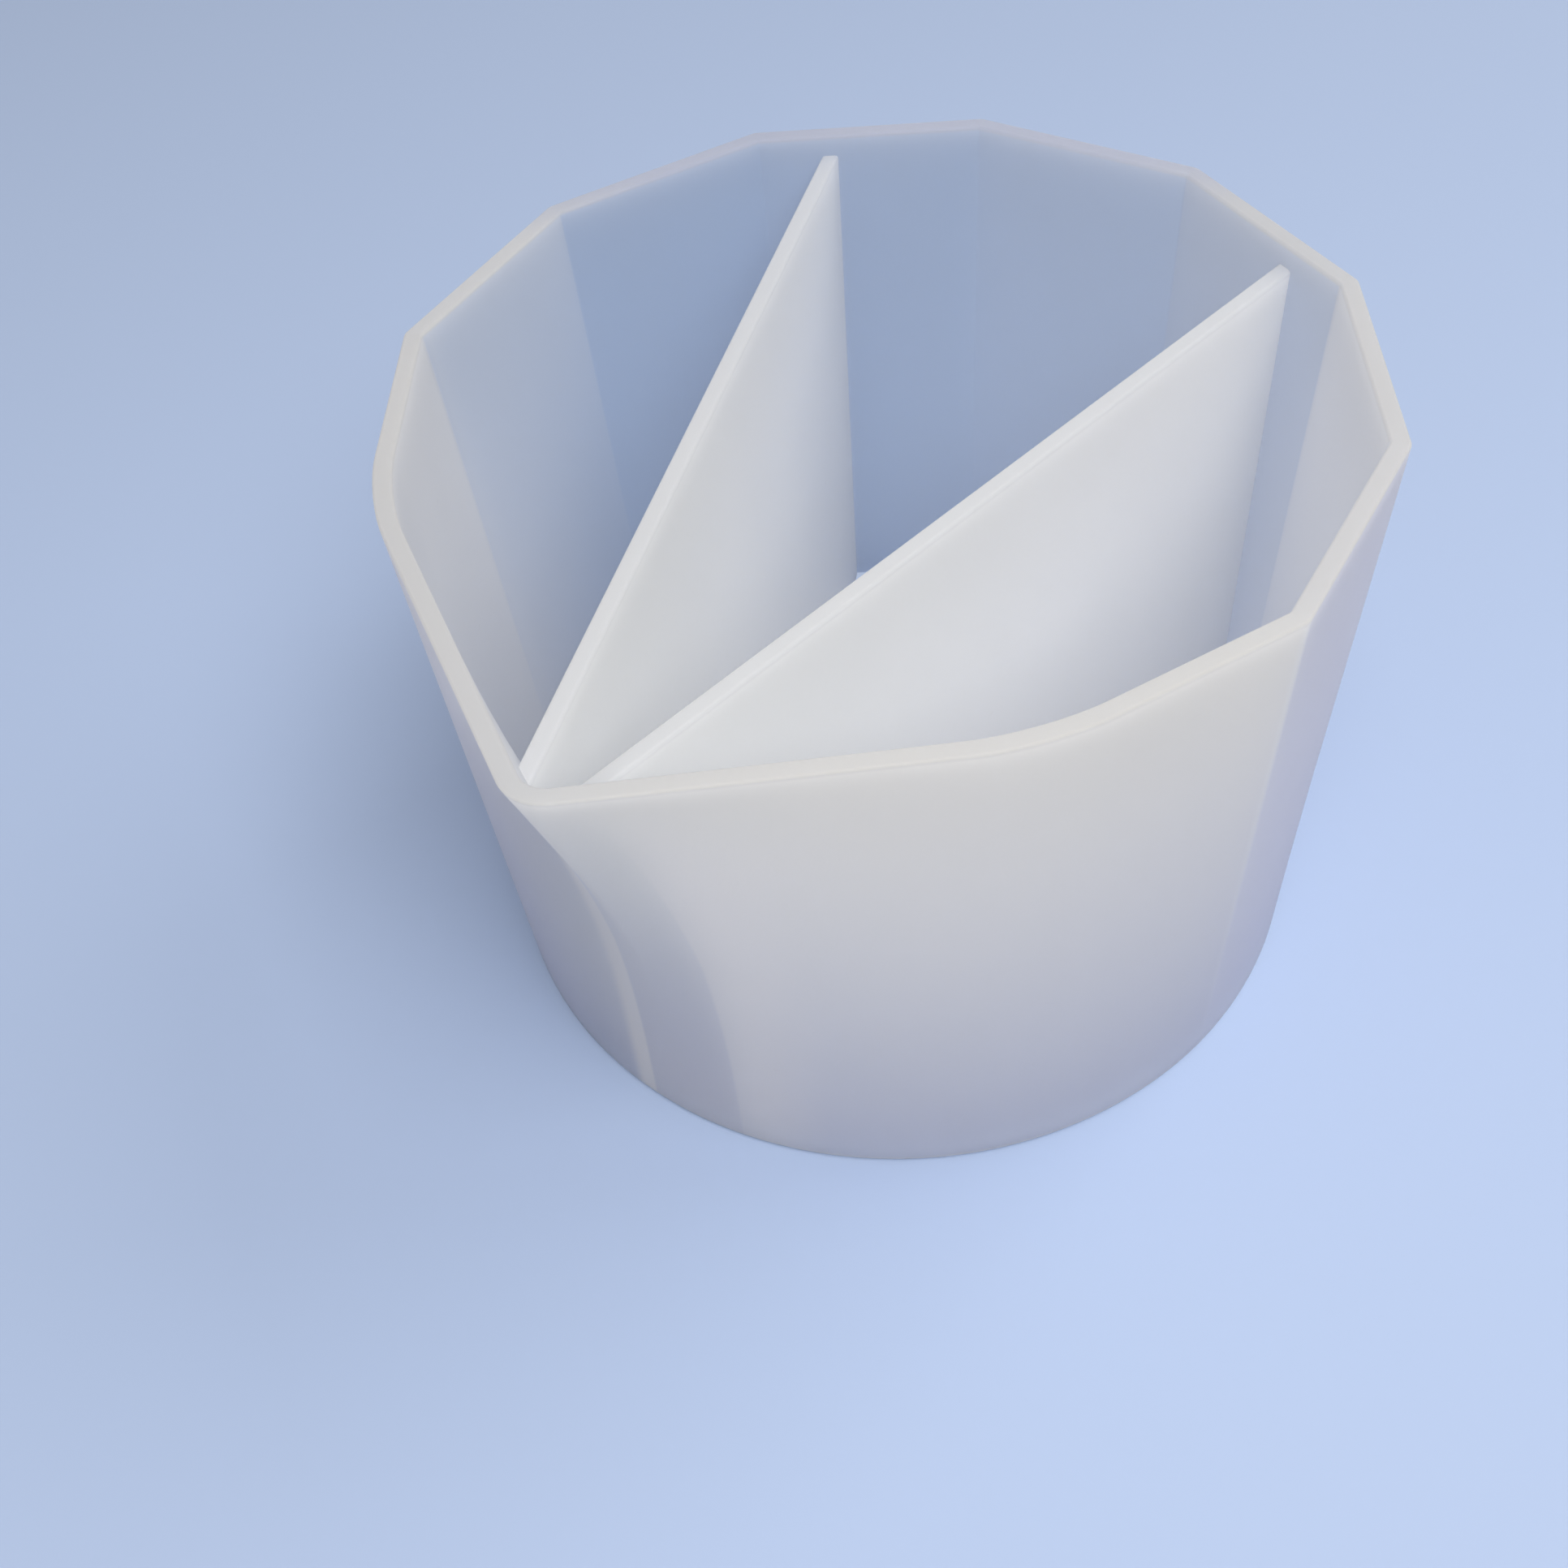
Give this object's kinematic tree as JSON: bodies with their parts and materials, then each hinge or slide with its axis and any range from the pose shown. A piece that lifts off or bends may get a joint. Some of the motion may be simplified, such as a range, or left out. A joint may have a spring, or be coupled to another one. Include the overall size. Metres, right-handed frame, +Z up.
{
  "type": "split pour cup",
  "caption": "Soft translucent silicone pouring cup with a faceted rim, a round base, a V-shaped spout and inner dividers that keep paint colours apart until they meet at the tip.",
  "frame": {"origin": "centre of the round base, on its underside", "axes": "+Z up out of the mouth, -Y towards the spout, +X to the right for someone who faces the spout"},
  "size_m": [0.0812, 0.0907, 0.057],
  "materials": {
    "silicone": "satin, milky translucent"
  },
  "bodies": {
    "root": {"base_floor": "silicone", "side_wall": "silicone", "pour_spout": "silicone", "left_divider": "silicone", "right_divider": "silicone"}
  },
  "joints": []
}
